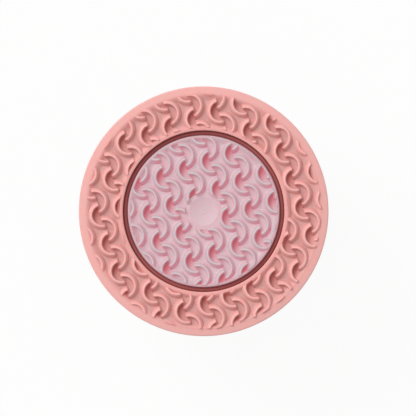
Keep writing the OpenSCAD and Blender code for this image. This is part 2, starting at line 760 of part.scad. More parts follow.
module motor_can() {
  color(steel) difference() {
    union() {
      peg(motor_pos, motor_r, motor_z + end_cap_h, gear_plate_z - can_edge);
      peg(motor_pos, motor_r - can_edge, motor_z + end_cap_h, gear_plate_z);
      peg(motor_pos, motor_nose_r, gear_plate_z - 1, gear_plate_z + motor_nose_h);
    }
    peg(motor_pos, motor_shaft_r + run_gap, gear_plate_z - 5, gear_plate_z + 2);
    for (p = motor_screws_at) peg(p, small_shank_r + seat_gap, gear_plate_z - 2.5, gear_plate_z + 1);
  }
}

module motor_end_cap() {
  color("#2c2c2e") {
    peg(motor_pos, motor_r - 0.3, motor_z, motor_z + end_cap_h);
    peg(motor_pos, end_boss_r, motor_z - end_boss_h, motor_z + eps);
  }
}

module motor_shaft() {
  color(steel) peg(motor_pos, motor_shaft_r, gear_plate_z - 4.8, wheel_z + drive_gear_t + 0.4);
}

module motor_pinion() {
  color("#c49a5a") translate(motor_pos) difference() {
    translate([0, 0, wheel_z]) rotate(motor_bearing - 180 + 180 / pinion_teeth)
      spur(pinion_teeth, drive_module, drive_gear_t);
    translate([0, 0, wheel_z - 1]) cylinder(r = motor_shaft_r + seat_gap, h = drive_gear_t + 2);
  }
}

module motor_screws() {
  color(steel) for (p = motor_screws_at)
    pan_screw(p, small_shank_r, 1.3, gear_plate_z - 2, gear_plate_z + gear_plate_t, 0.8);
}

module motor_leads() {
  for (s = [-1, 1]) color(s > 0 ? "#b8322a" : "#222222")
    peg(motor_pos + [0, s * lead_orbit], lead_r, board_top, motor_z);
}

/* Power and control */
module circuit_board() {
  color("#2f6b46") difference() {
    translate([0, 0, board_z]) cylinder(r = board_r, h = board_t);
    for (p = board_posts) peg(p, small_shank_r + 0.1, board_z - 1, board_top + 1);
  }
}

module board_screws() {
  color(steel) for (p = board_posts)
    pan_screw(p, small_shank_r, small_head_r, board_z - 4, board_top, 1);
}

// Controller, charger and lamp on the board
chips = [[[8, 4], [5, 5, 1]], [[7.5, -5], [4, 3, 1.1]], [[-6, -6], [3, 3, 0.9]], [[1, -5], [3.4, 2.6, 1.4]]];

module board_chips() {
  color("#262628") for (c = chips)
    translate([c[0][0] - c[1][0] / 2, c[0][1] - c[1][1] / 2, board_top]) cube(c[1]);
  color("#e8e4d8") rotate(light_bearing) translate([board_r - 2.6, -0.9, board_top]) cube([1.8, 1.8, 3.4]);
}

module tact_switch() {
  color("#34343a") difference() {
    translate([-tact_size[0] / 2, -tact_face, board_top]) cube(tact_size);
    translate([0, -tact_face - 1, button_z]) rotate([-90, 0, 0])
      cylinder(r = plunger_r + run_gap, h = 1 + plunger_l - plunger_out + button_travel + air_gap);
  }
}

module tact_plunger() {
  color("#d8d2c8") translate([0, -tact_face - plunger_out, button_z]) rotate([-90, 0, 0])
    cylinder(r = plunger_r, h = plunger_l);
}

module power_button() {
  color(salmon) {
    button_prism(button_size[0], button_size[1], button_face, button_back);
    button_prism(button_size[0] + 2 * button_flange, button_size[1] + 2 * button_flange,
      button_back, button_back - button_flange);
    translate([0, -button_back + button_flange - eps, button_z]) rotate([-90, 0, 0])
      cylinder(r = button_stem_r, h = button_back - button_flange - tact_face - plunger_out + eps);
  }
}

module button_seal() {
  grow = 2 * (button_seal_t - seat_gap);
  color(maroon) difference() {
    intersection() {
      button_prism(button_size[0] + grow, button_size[1] + grow, belly_r + 1, button_back + 0.3);
      translate([0, 0, button_z - button_size[1]]) cylinder(r = belly_r - 0.1, h = 2 * button_size[1]);
    }
    button_prism(button_size[0] + 2 * air_gap, button_size[1] + 2 * air_gap, belly_r + 2, button_back - 1);
  }
}

module status_light_pipe() {
  color("white") intersection() {
    radial_peg(light_r, board_r - 0.6, belly_r + 2);
    translate([0, 0, button_z - 6]) cylinder(r = belly_r, h = 12);
  }
}

module battery_cell() {
  r = 1.2;
  color("#9aa0a6") translate([0, 0, cover_floor]) linear_extrude(cell_size[2]) union() {
    square([cell_size[0] - 2 * r, cell_size[1]], center = true);
    square([cell_size[0], cell_size[1] - 2 * r], center = true);
    for (x = [-1, 1], y = [-1, 1])
      translate([x * (cell_size[0] / 2 - r), y * (cell_size[1] / 2 - r)]) circle(r = r);
  }
}

module battery_foam() {
  color(dark_rubber) translate([-cell_size[0] / 2 + 3, -cell_size[1] / 2 + 3, cell_top])
    cube([cell_size[0] - 6, cell_size[1] - 6, foam_t]);
}

module battery_leads() {
  turn = board_z - cover_floor - cell_size[2] / 2;
  for (y = [4, 7]) color(y < 5 ? "#b8322a" : "#222222")
    translate([cell_size[0] / 2 + 0.1, y, board_z - turn]) rotate([90, 0, 0]) translate([0, turn, 0])
      rotate(-90) rotate_extrude(angle = 90) translate([turn, 0]) circle(r = lead_r, $fn = 24);
}

module charging_contacts() {
  color("#d9b45a") for (p = contact_pos) {
    peg(p, contact_head_r, 0.3, foot_z + foot_pocket);
    peg(p, contact_stem_r, foot_z + foot_pocket - eps, board_z);
  }
}

module charge_magnets() {
  color(steel) for (a = magnet_bearings)
    peg(polar(magnet_orbit, a), magnet_r, cover_floor, cover_floor + magnet_t);
}

inner_brush_pad();
inner_pad_carrier();
sun_gear();
hub_bush();
hub_clip();
outer_brush_ring();
ring_gear_carrier();
gap_seal();
thrust_washer();
head_base();
planet_gear(0);  // planet_gear_1
planet_gear(1);  // planet_gear_2
planet_gear(2);  // planet_gear_3
planet_pins();
main_shell();
rear_cover();
grip_sleeve();
head_o_ring();
foot_pad();
housing_seal();
housing_screws();
drive_spindle();
shaft_seal();
spindle_bush();
output_gear();
compound_gear();
compound_axle();
gear_plate();
gear_plate_screws();
motor_can();
motor_end_cap();
motor_shaft();
motor_pinion();
motor_screws();
motor_leads();
circuit_board();
board_screws();
board_chips();
tact_switch();
tact_plunger();
power_button();
button_seal();
status_light_pipe();
battery_cell();
battery_foam();
battery_leads();
charging_contacts();
charge_magnets();
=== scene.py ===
# %% [markdown]
# # A round facial cleansing brush, dressed for its portrait
# The construction of the brush is already fixed: a palm-sized body with a motor, a gear head, and two rigid
# carriers that turn against each other. This lesson gives it its looks. The two brush faces, the dark seal
# between them and the soft parts of the body are moulded silicone, so they are modelled here as new meshes
# over the rigid carriers, and every other piece gets the finish of the material it is really made of.
# Lengths are metres, as Blender wants them, and are written as millimetres times MM.

# %% Load the frame
import json
import math

import bpy
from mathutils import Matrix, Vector


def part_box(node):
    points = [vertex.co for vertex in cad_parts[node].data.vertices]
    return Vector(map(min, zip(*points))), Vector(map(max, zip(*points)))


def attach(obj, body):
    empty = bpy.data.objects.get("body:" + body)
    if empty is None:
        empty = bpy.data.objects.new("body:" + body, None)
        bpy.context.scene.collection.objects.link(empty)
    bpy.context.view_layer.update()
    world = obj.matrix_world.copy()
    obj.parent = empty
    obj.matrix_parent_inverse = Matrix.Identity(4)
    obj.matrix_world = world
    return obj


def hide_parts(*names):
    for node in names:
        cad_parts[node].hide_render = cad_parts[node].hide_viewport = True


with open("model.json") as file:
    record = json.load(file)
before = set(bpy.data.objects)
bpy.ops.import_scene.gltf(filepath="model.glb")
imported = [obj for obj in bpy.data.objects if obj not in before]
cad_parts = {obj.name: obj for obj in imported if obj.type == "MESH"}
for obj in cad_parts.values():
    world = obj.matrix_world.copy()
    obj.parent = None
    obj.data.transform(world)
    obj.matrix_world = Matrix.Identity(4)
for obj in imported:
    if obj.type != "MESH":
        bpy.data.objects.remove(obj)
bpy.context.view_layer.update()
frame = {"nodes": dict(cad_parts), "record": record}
bpy.ops.object.select_all(action="DESELECT")
MM = 0.001
print("rigid pieces loaded:", len(frame["nodes"]))

# %% [markdown]
# Every size that another piece already has is read from that piece's box, so the soft parts keep their fit.
# The face's own sizes are those of the mould: how high a ridge stands, how wide it bends, and where the
# floor of the pattern rises again to meet the rims.

# %% Sizes of the brush face
head_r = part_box("outer_brush_ring")[1].x
crest_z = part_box("outer_brush_ring")[1].z
skirt_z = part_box("outer_brush_ring")[0].z
carrier_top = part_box("ring_gear_carrier")[1].z
carrier_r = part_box("ring_gear_carrier")[1].x
disc_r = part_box("inner_brush_pad")[1].x
disc_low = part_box("inner_brush_pad")[0].z
disc_carrier_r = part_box("inner_pad_carrier")[1].x
bore_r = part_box("gap_seal")[1].x + 0.02 * MM

ridge_h = 1.1 * MM
floor_z = crest_z - ridge_h
row_pitch = 5.84 * MM
row_gap = 7.14 * MM
row_turn = math.radians(19.2)
ridge_shift = 0.57 * MM
print("face radius", round(head_r / MM, 2), "crest height", round(crest_z / MM, 2))

# %% [markdown]
# Three small helpers carry most of the modelling. The first draws an outline by extruding one vertex from
# point to point, the way one would click it out by hand. The second spins the outline into a solid of
# revolution, welds the seam and turns the normals outwards. The third applies a modifier at once.


# %% Drawing and spinning an outline
WELD = 0.002 * MM


def activate(piece):
    """Makes one piece the only selected and active one."""
    bpy.ops.object.select_all(action="DESELECT")
    piece.select_set(True)
    bpy.context.view_layer.objects.active = piece


def draw_outline(name, points, closed=False, filled=False):
    """A chain of edges through points given as (radius, height). It may be closed and filled with a face."""
    bpy.ops.object.select_all(action="DESELECT")
    bpy.ops.mesh.primitive_plane_add(size=MM)
    piece = bpy.context.object
    piece.name = piece.data.name = name
    bpy.ops.object.mode_set(mode="EDIT")
    bpy.ops.mesh.merge(type="CENTER")
    here = Vector((points[0][0], 0, points[0][1]))
    bpy.ops.transform.translate(value=here)
    for radius, height in points[1:] + points[:1] * closed:
        there = Vector((radius, 0, height))
        bpy.ops.mesh.extrude_vertices_move(TRANSFORM_OT_translate={"value": there - here})
        here = there
    bpy.ops.mesh.select_all(action="SELECT")
    bpy.ops.mesh.remove_doubles(threshold=WELD)
    if filled:
        bpy.ops.mesh.edge_face_add()
    bpy.ops.object.mode_set(mode="OBJECT")
    return piece


def spin_outline(piece, steps, angle=math.tau):
    """Spins an outline round the upright axis and welds the seam."""
    activate(piece)
    bpy.ops.object.mode_set(mode="EDIT")
    bpy.ops.mesh.select_all(action="SELECT")
    bpy.ops.mesh.spin(steps=steps, angle=angle, center=(0, 0, 0), axis=(0, 0, 1))
    bpy.ops.mesh.select_all(action="SELECT")
    bpy.ops.mesh.remove_doubles(threshold=WELD)
    bpy.ops.mesh.normals_make_consistent(inside=False)
    bpy.ops.object.mode_set(mode="OBJECT")
    return piece


def finish_modifier(piece, kind, **settings):
    """Adds a modifier with its settings and applies it at once."""
    activate(piece)
    modifier = piece.modifiers.new(kind.title(), kind)
    for key, value in settings.items():
        setattr(modifier, key, value)
    bpy.ops.object.modifier_apply(modifier=modifier.name)
    return piece


def arc(centre, radius, first, last, steps):
    """Points of a round stretch of an outline; angles in degrees."""
    turn = [math.radians(first + (last - first) * i / steps) for i in range(steps + 1)]
    return [(centre[0] + radius * math.cos(a), centre[1] + radius * math.sin(a)) for a in turn]


def rise(start, end, low, high, steps):
    """Points of a smooth S-shaped rise from one radius and height to another."""
    share = [i / steps for i in range(steps + 1)]
    return [(start + (end - start) * t, low + (high - low) * t * t * (3 - 2 * t)) for t in share]


def triangles(piece):
    """Number of triangles that the piece's faces make."""
    return sum(len(p.vertices) - 2 for p in piece.data.polygons)


# %% [markdown]
# One ridge is half a turn of a small lump: steep towards the hollow side, a narrow rounded crest, and a
# round back that runs out into the floor. It is drawn once and spun by half a turn, and the edges of its two
# cut ends are broken with a small bevel, as a mould would leave them.

# %% One ridge
ridge_r = 2.52 * MM
hollow_r = 2.1 * MM
back_r = 3.5 * MM
root = -0.5 * MM


def ridge_outline():
    """Steep wall towards the hollow, a narrow crest, a round back and a soft foot."""
    crest = 0.13 * MM
    wall = [
        (hollow_r - 0.16 * MM, root),
        (hollow_r - 0.16 * MM, 0.0),
        (hollow_r - 0.04 * MM, 0.06 * MM),
        (hollow_r + 0.08 * MM, 0.2 * MM),
        (hollow_r + 0.15 * MM, 0.55 * MM),
    ]
    top = arc((ridge_r, ridge_h - crest), crest, 168, 84, 5)
    start = ridge_r + 0.04 * MM
    run = back_r - start
    shares = (0.12, 0.25, 0.38, 0.5, 0.62, 0.73, 0.84, 0.93)
    back = [(start + run * u, ridge_h * (1 - u * u)) for u in shares]
    foot = [(back_r - 0.01 * MM, 0.04 * MM), (back_r + 0.06 * MM, 0.0), (back_r + 0.06 * MM, root)]
    return wall + top + back + foot


ridge = draw_outline("ridge", ridge_outline(), closed=True, filled=True)
spin_outline(ridge, 32, math.pi)
bpy.ops.object.mode_set(mode="EDIT")
bpy.ops.mesh.select_mode(type="FACE")
bpy.ops.mesh.select_all(action="DESELECT")
bpy.ops.mesh.select_face_by_sides(number=4, type="GREATER")
bpy.ops.mesh.region_to_loop()
end_bevel = 0.09 * MM
bpy.ops.mesh.bevel(offset=end_bevel, segments=2, clamp_overlap=True)
bpy.ops.mesh.select_mode(type="VERT")
bpy.ops.object.mode_set(mode="OBJECT")
print("ridge faces", len(ridge.data.polygons))


# %% [markdown]
# The pattern is laid out on a turned grid: whole rows bulge one way, and the rows halfway between them bulge
# the other way. Copies that bulge the same way never touch each other, so each direction becomes one clean
# solid. A copy is made only where it reaches into the band that the pattern fills.


# %% Lay out the rows of ridges
def lay_ridges(name, inner, outer, bulge, half_row):
    """All ridges that bulge one way (1 or -1) and reach the band between two radii, as one mesh."""
    reach = math.ceil(outer / row_pitch) + 1
    shift = -ridge_shift if bulge > 0 else 0.0
    copies = []
    for i in range(-reach, reach + 1):
        for j in range(-reach, reach + 1):
            place = Vector((i * row_pitch + shift, (j + 0.5 * half_row) * row_gap, floor_z))
            if not inner - back_r < place.to_2d().length < outer + back_r:
                continue
            copy = ridge.copy()
            copy.data = ridge.data.copy()
            bpy.context.collection.objects.link(copy)
            copy.location = place
            copy.rotation_euler.z = bulge * math.pi / 2
            copies.append(copy)
    activate(copies[0])
    for copy in copies:
        copy.select_set(True)
    bpy.ops.object.join()
    rows = bpy.context.object
    rows.name = name
    bpy.ops.object.transform_apply(location=True, rotation=True, scale=True)
    rows.rotation_euler.z = row_turn
    bpy.ops.object.transform_apply(location=False, rotation=True, scale=False)
    print(name, "has", len(copies), "ridges")
    return rows


def fuse(piece, other, operation="UNION"):
    """Boolean of two closed solids; the second one is used up."""
    finish_modifier(piece, "BOOLEAN", object=other, operation=operation, solver="MANIFOLD")
    bpy.data.objects.remove(other)
    return piece


def band_cutter(inner, outer):
    """A plain ring that keeps only the part of the pattern between two radii."""
    low, high = floor_z + root - MM, floor_z + 2 * ridge_h
    cutter = draw_outline("cutter", [(inner, low), (outer, low), (outer, high), (inner, high)], closed=True)
    return spin_outline(cutter, 160)


def drop_crumbs(rows, least):
    """Removes the loose scraps of ridges whose longest side is shorter than the least length."""
    activate(rows)
    bpy.ops.mesh.separate(type="LOOSE")
    scraps = [piece for piece in bpy.context.selected_objects if max(piece.dimensions.xy) < least]
    kept = [piece for piece in bpy.context.selected_objects if piece not in scraps]
    for scrap in scraps:
        bpy.data.objects.remove(scrap)
    activate(kept[0])
    for piece in kept:
        piece.select_set(True)
    bpy.ops.object.join()
    print("scraps removed:", len(scraps))
    return bpy.context.object


def cover_with_ridges(base, inner, outer, near_half_rows, least):
    """Fuses both directions of ridges onto a skin, cut to the band and without scraps."""
    for bulge in (1, -1):
        rows = lay_ridges(f"rows_{bulge}", inner, outer, bulge, near_half_rows == (bulge > 0))
        fuse(rows, band_cutter(inner, outer), "INTERSECT")
        rows = drop_crumbs(rows, least)
        fuse(base, rows)
    return base


# %% [markdown]
# The outer ring's skin wraps the rim of its carrier. In section it has a raised inner lip, a sunken floor
# that climbs smoothly to both rims, a rounded outer edge and a plain side that ends in a small lip below.
# The outer rim lies a little lower than the lip and falls gently outwards, so cut ridges stand out beside it.

# %% Model the outer ring's skin
lip_z = crest_z - 0.3 * MM
lip_round = 0.3 * MM
rim_z = lip_z - 0.2 * MM
rim_edge_z = lip_z - 0.42 * MM
rim_round = 0.35 * MM
skirt_edge = 0.5 * MM
fit_gap = 0.02 * MM
ring_outline = (
    [(bore_r, carrier_top), (bore_r, lip_z - 0.35 * MM)]
    + arc((bore_r + lip_round, lip_z - lip_round), lip_round, 180, 90, 4)
    + rise(bore_r + 0.75 * MM, bore_r + 1.9 * MM, lip_z, floor_z, 10)
    + rise(26.5 * MM, 28.2 * MM, floor_z, rim_z, 12)
    + arc((head_r - rim_round, rim_edge_z - rim_round), rim_round, 80, 0, 8)
    + [
        (head_r, skirt_z + skirt_edge),
        (head_r - 0.15 * MM, skirt_z + 0.15 * MM),
        (head_r - skirt_edge, skirt_z),
        (carrier_r + fit_gap, skirt_z),
        (carrier_r + fit_gap, carrier_top),
    ]
)
brush_ring = draw_outline("brush_ring", ring_outline, closed=True)
spin_outline(brush_ring, 256)
ring_band = (bore_r + 0.85 * MM, 28.15 * MM)
ring_scrap = 1.6 * MM
cover_with_ridges(brush_ring, *ring_band, True, ring_scrap)
print("brush ring triangles:", triangles(brush_ring))

# %% [markdown]
# The inner disc's skin is turned as well: a shallow dish with a small nub in its middle, where the mould was
# filled, then a faint swell round the dish, the floor of the pattern, and a climb to a rounded rim.

# %% Model the inner disc's skin
dish_r = 3.33 * MM
dish_depth = 0.55 * MM
nub_r = 0.45 * MM


def dish_height(radius):
    """Height of the dish's curved floor at a radius."""
    return floor_z - dish_depth * (1 - (radius / dish_r) ** 2)


dish_low = dish_height(0)
nub = [(0.0, dish_low + 0.02 * MM), (nub_r * 0.7, dish_low + 0.02 * MM), (nub_r, dish_low + 0.1 * MM)]
nub += [(nub_r * 1.3, dish_height(nub_r * 1.3))]
dish = [(dish_r * t, dish_height(dish_r * t)) for t in (0.35, 0.5, 0.65, 0.8, 0.92)]
swell = [
    (dish_r, floor_z + 0.02 * MM),
    (dish_r + 0.12 * MM, floor_z + 0.05 * MM),
    (dish_r + 0.35 * MM, floor_z),
]
disc_outline = (
    nub
    + dish
    + swell
    + rise(16.3 * MM, 17.75 * MM, floor_z, lip_z - 0.05 * MM, 10)
    + arc((disc_r - lip_round, lip_z - 0.35 * MM), lip_round, 90, 0, 4)
    + [
        (disc_r, disc_low),
        (disc_carrier_r + fit_gap, disc_low),
        (disc_carrier_r + fit_gap, carrier_top),
        (0.0, carrier_top),
    ]
)
brush_disc = draw_outline("brush_disc", disc_outline)
spin_outline(brush_disc, 192)
disc_band = (dish_r + 1.17 * MM, disc_r - 0.5 * MM)
disc_scrap = 1.45 * MM
cover_with_ridges(brush_disc, *disc_band, False, disc_scrap)
bpy.data.objects.remove(ridge)
print("brush disc triangles:", triangles(brush_disc))


# %% [markdown]
# The seal between the two brush faces is a narrow ring with a crowned top. Hundreds of fine ribs across the
# crown wipe water away from the gap; one rib is modelled and carried round by a spin that makes copies.

# %% Model the gap seal
seal_low, seal_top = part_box("gap_seal")[0].z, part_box("gap_seal")[1].z
seal_in = disc_r + 0.2 * MM
seal_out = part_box("gap_seal")[1].x
seal_mid = (seal_in + seal_out) / 2
seal_half = (seal_out - seal_in) / 2
rib_h = 0.05 * MM
rib_w = 0.16 * MM
rib_count = 280
crown_z = seal_top - seal_half - rib_h
gap_ring = draw_outline(
    "gap_ring",
    [(seal_in, seal_low), (seal_out, seal_low)] + arc((seal_mid, crown_z), seal_half, 0, 180, 12),
    closed=True,
)
spin_outline(gap_ring, 192)
ribs = draw_outline(
    "ribs", arc((seal_mid, crown_z + rib_h), seal_half * 0.86, 20, 160, 6), closed=True, filled=True
)
activate(ribs)
bpy.ops.object.mode_set(mode="EDIT")
bpy.ops.mesh.select_all(action="SELECT")
bpy.ops.mesh.extrude_region_move(TRANSFORM_OT_translate={"value": (0, rib_w, 0)})
bpy.ops.mesh.select_all(action="SELECT")
bpy.ops.mesh.normals_make_consistent(inside=False)
bpy.ops.mesh.spin(steps=rib_count, angle=math.tau, dupli=True, center=(0, 0, 0), axis=(0, 0, 1))
bpy.ops.mesh.select_all(action="SELECT")
bpy.ops.mesh.remove_doubles(threshold=0.001 * MM)
bpy.ops.object.mode_set(mode="OBJECT")
activate(gap_ring)
ribs.select_set(True)
bpy.ops.object.join()
print("gap seal triangles:", triangles(gap_ring))

# %% [markdown]
# The grip sleeve follows the waist of the housing. Its outside is a run of soft ribs: the outline swells and
# dips along the curve of the waist, and both ends are rounded down to the housing.

# %% Model the grip sleeve
sleeve_low, sleeve_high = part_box("grip_sleeve")[0].z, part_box("grip_sleeve")[1].z
sleeve_t = 1.2 * MM
belly = (28.4 * MM, 14.0 * MM)
waist = (25.4 * MM, 28.0 * MM)
shoulder = (27.4 * MM, 35.5 * MM)
rib_waves = 5
rib_sink = 0.12 * MM
rib_rise = 0.34 * MM


def body_radius(height):
    """Radius of the housing at a height on its waist: two smooth half waves."""
    first, second = (belly, waist) if height < waist[1] else (waist, shoulder)
    share = min(1.0, (height - first[1]) / (second[1] - first[1]))
    return first[0] + (second[0] - first[0]) * (1 - math.cos(math.pi * share)) / 2


def sleeve_point(share):
    """Point on the ribbed outside of the sleeve, from its low end (0) to its high end (1)."""
    height = sleeve_low + (sleeve_high - sleeve_low) * share
    swell = abs(math.sin(rib_waves * math.pi * share)) ** 0.7
    return (body_radius(height) - rib_sink + rib_rise * swell, height)


sleeve_outline = [sleeve_point(i / 80) for i in range(81)]
inside = [sleeve_high + (sleeve_low - sleeve_high) * i / 16 for i in range(17)]
sleeve_outline += [(body_radius(z) - sleeve_t + 0.03 * MM, z) for z in inside]
soft_grip = draw_outline("soft_grip", sleeve_outline, closed=True)
spin_outline(soft_grip, 128)
print("grip sleeve triangles:", triangles(soft_grip))

# %% [markdown]
# The foot pad is a flat disc of soft silicone with a rounded edge. Three half-round grooves run round its
# underside for grip, and two holes let the charging contacts through.

# %% Model the foot pad
pad_r, pad_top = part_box("foot_pad")[1].x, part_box("foot_pad")[1].z
pad_round = 0.6 * MM
groove_r = 0.35 * MM
contact_y = -14.6 * MM
contact_hole_r = 1.9 * MM
grooves = []
for radius in (14.0 * MM, 17.0 * MM, 20.0 * MM):
    grooves += arc((radius, 0.0), groove_r, 180, 0, 6)
foot_outline = (
    [(0.0, 0.0)]
    + grooves
    + arc((pad_r - pad_round, pad_round), pad_round, -90, 0, 6)
    + [(pad_r, pad_top), (0.0, pad_top)]
)
soft_foot = draw_outline("soft_foot", foot_outline)
spin_outline(soft_foot, 160)
for contact_x in (-4.6 * MM, 4.6 * MM):
    bpy.ops.mesh.primitive_cylinder_add(
        vertices=48, radius=contact_hole_r, depth=6 * MM, location=(contact_x, contact_y, pad_top / 2)
    )
    fuse(soft_foot, bpy.context.object, "DIFFERENCE")
print("foot pad triangles:", triangles(soft_foot))

# %% [markdown]
# The button is a pill pushed out of the shell, with a broad soft edge and a shallow finger dish. A frame of
# darker silicone lines the opening. Both start as a flat pill outline that is drawn, filled and extruded.


# %% Model the power button and its frame
def pill(name, width, height, front, back):
    """A solid pill whose flat faces look along -Y, between two distances from the axis."""
    radius, reach = height / 2, (width - height) / 2
    edge = arc((reach, button_z), radius, -90, 90, 16) + arc((-reach, button_z), radius, 90, 270, 16)
    piece = draw_outline(name, edge, closed=True, filled=True)
    activate(piece)
    bpy.ops.object.mode_set(mode="EDIT")
    bpy.ops.mesh.select_all(action="SELECT")
    bpy.ops.transform.translate(value=(0, -back, 0))
    bpy.ops.mesh.extrude_region_move(TRANSFORM_OT_translate={"value": (0, back - front, 0)})
    bpy.ops.mesh.select_all(action="SELECT")
    bpy.ops.mesh.normals_make_consistent(inside=False)
    bpy.ops.object.mode_set(mode="OBJECT")
    return piece


button_low, button_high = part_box("power_button")
seal_low_corner, seal_high_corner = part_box("button_seal")
button_z = (button_low.z + button_high.z) / 2
flange_w = 2 * MM
button_w = button_high.x - button_low.x - flange_w
button_h = button_high.z - button_low.z - flange_w
button_face = -button_low.y
button_back = 24.0 * MM
flange_back = button_back - MM
finger_dish_r = 16 * MM
finger_dish_reach = 15.6 * MM
soft_button = pill("soft_button", button_w, button_h, button_face, button_back)
finish_modifier(
    soft_button, "BEVEL", width=0.9 * MM, segments=5, limit_method="ANGLE", angle_limit=math.radians(60)
)
bpy.ops.mesh.primitive_uv_sphere_add(
    segments=96, ring_count=48, radius=finger_dish_r, location=(0, -button_face - finger_dish_reach, button_z)
)
fuse(soft_button, bpy.context.object, "DIFFERENCE")
flange = pill("flange", button_w + flange_w, button_h + flange_w, button_back + 0.4 * MM, flange_back)
fuse(soft_button, flange)
bpy.ops.mesh.primitive_cylinder_add(
    vertices=32,
    radius=1.8 * MM,
    depth=flange_back + button_high.y,
    location=(0, -(flange_back - button_high.y) / 2, button_z),
    rotation=(math.pi / 2, 0, 0),
)
fuse(soft_button, bpy.context.object)

frame_w = seal_high_corner.x - seal_low_corner.x
frame_h = seal_high_corner.z - seal_low_corner.z
button_frame = pill("button_frame", frame_w, frame_h, belly[0] + 0.6 * MM, -seal_high_corner.y)
play = 0.4 * MM
opening = pill("opening", button_w + play, button_h + play, 32 * MM, 20 * MM)
fuse(button_frame, opening, "DIFFERENCE")
bpy.ops.mesh.primitive_cylinder_add(
    vertices=256, radius=-seal_low_corner.y, depth=20 * MM, location=(0, 0, button_z)
)
fuse(button_frame, bpy.context.object, "INTERSECT")
finish_modifier(
    button_frame, "BEVEL", width=0.15 * MM, segments=3, limit_method="ANGLE", angle_limit=math.radians(50)
)
print("button", triangles(soft_button), "frame", triangles(button_frame))

# %% [markdown]
# Each soft piece rides with a body, takes the place of its plain stand-in and names the material it is made of.
# All but one ride as their stand-ins do. The seal's ring rides with the head, while its stand-in turns with the
# outer ring. The ring is round, so the difference does not show.

# %% Seat the soft pieces
soft_pieces = [
    (brush_ring, "outer_ring", "outer_brush_ring", "salmon_silicone"),
    (brush_disc, "inner_disc", "inner_brush_pad", "pale_pink_silicone"),
    (gap_ring, "head", "gap_seal", "maroon_silicone"),
    (soft_grip, "housing", "grip_sleeve", "salmon_silicone"),
    (soft_foot, "housing", "foot_pad", "salmon_silicone"),
    (soft_button, "button", "power_button", "salmon_silicone"),
    (button_frame, "housing", "button_seal", "maroon_silicone"),
]
for piece, body, node, slot in soft_pieces:
    activate(piece)
    bpy.ops.object.shade_smooth_by_angle(angle=math.radians(35))
    finish_modifier(piece, "WEIGHTED_NORMAL", keep_sharp=True)
    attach(piece, body)
    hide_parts(node)
print("soft pieces:", ", ".join(piece.name for piece, *_ in soft_pieces))


# %% [markdown]
# Finishes are written as small expressions. A Value wraps one output of a node, and its operators add the
# Math nodes, so a pattern reads like a formula. Everything else goes through one method that makes a node,
# gives it its settings and feeds its sockets.


# %% A small language for finishes
def linear(*colour):
    """A colour picked on screen, 0 to 255, as the scene-linear colour that a shader wants."""
    parts = [c / 255 for c in colour]
    return tuple(p / 12.92 if p <= 0.04045 else ((p + 0.055) / 1.055) ** 2.4 for p in parts) + (1.0,)


class Value:
    """One output of a shader node. Arithmetic on it adds the Math nodes."""

    def __init__(self, finish, socket):
        self.finish = finish
        self.socket = socket

    def math(self, operation, *others):
        values = dict(enumerate([self, *others]))
        return self.finish.node("ShaderNodeMath", values, operation=operation)

    def __add__(self, other):
        return self.math("ADD", other)

    def __sub__(self, other):
        return self.math("SUBTRACT", other)

    def __mul__(self, other):
        return self.math("MULTIPLY", other)

    def __truediv__(self, other):
        return self.math("DIVIDE", other)

    def __pow__(self, other):
        return self.math("POWER", other)

    def __rsub__(self, other):
        return self.finish.node("ShaderNodeMath", {0: other, 1: self}, operation="SUBTRACT")

    def between(self, low, high):
        """0 below low, 1 above high, with a smooth step between the two."""
        values = {"Value": self, "From Min": low, "From Max": high}
        return self.finish.node("ShaderNodeMapRange", values, interpolation_type="SMOOTHSTEP")


class Finish:
    """A node material that is written as expressions."""

    def __init__(self, name, constants):
        self.material = bpy.data.materials.new(name)
        self.material.use_nodes = True
        self.tree = self.material.node_tree
        self.shader = self.tree.nodes["Principled BSDF"]
        for socket, value in constants.items():
            self.shader.inputs[socket].default_value = value
        self.place = self.node("ShaderNodeTexCoord", output="Object")

    def node(self, kind, values=None, output=0, **settings):
        """Makes a node, sets it up, feeds its sockets and gives one of its outputs."""
        made = self.tree.nodes.new(kind)
        for key, value in settings.items():
            setattr(made, key, value)
        for socket, value in (values or {}).items():
            self.feed(made.inputs[socket], value)
        return Value(self, made.outputs[output])

    def feed(self, socket, value):
        if isinstance(value, Value):
            self.tree.links.new(value.socket, socket)
        else:
            socket.default_value = value

    def mix(self, share, first, second):
        """Colour mix: first where share is 0, second where it is 1."""
        values = {"Factor": share, 6: first, 7: second}
        return self.node("ShaderNodeMix", values, output=2, data_type="RGBA")

    def noise(self, size, detail=3.0):
        """Cloudy noise, about 0 to 1, whose patches are about that size."""
        values = {"Vector": self.place, "Scale": 1 / size, "Detail": detail, "Roughness": 0.5}
        return self.node("ShaderNodeTexNoise", values)

    def axis(self, name):
        """One coordinate of the point on the piece, in metres."""
        return self.node("ShaderNodeSeparateXYZ", {0: self.place}, output=name)

    def bump(self, height, depth):
        """A fine texture that is felt by the light only."""
        values = {"Height": height, "Distance": depth, "Strength": 1.0}
        self.paint("Normal", self.node("ShaderNodeBump", values))

    def paint(self, socket, value):
        """Feeds one socket of the surface itself."""
        self.feed(self.shader.inputs[socket], value)


# %% [markdown]
# Silicone is soft, satin and a little translucent, and red light travels through it further than green or
# blue. Its colour also carries painted light. The finish reads how high a point stands: crests get a pale
# painted highlight and the floor a painted tone, and the ring's outer rim is painted paler too. Two masks then
# follow the turned grid of the ridges and paint shade: one in each hollow under its upper left wall and one on
# each ridge's lower right back, the sides that the lamp at the upper left leaves in shadow. Both turn with the
# skin, so this painted shade does not follow the lamp. The inner disc also has a faint painted glow of its own,
# which stands for the light that passes through its paler silicone and lifts its shade.


# %% Silicone
# These numbers set the painted light: the direction towards the lamp in the grid of the ridges, the least and
# the full share of the painted shade in the hollows for each bulge, and the share of the painted highlight on
# the ring's outer rim.
LAMP_UP_SHARE, LAMP_LEFT_SHARE = 0.76, 0.65
LEAST_HOLLOW_SHADE = 0.14
SHADE_OF_BULGE = ((1, 0.6), (-1, 1.0))
RIM_HIGHLIGHT = 0.6


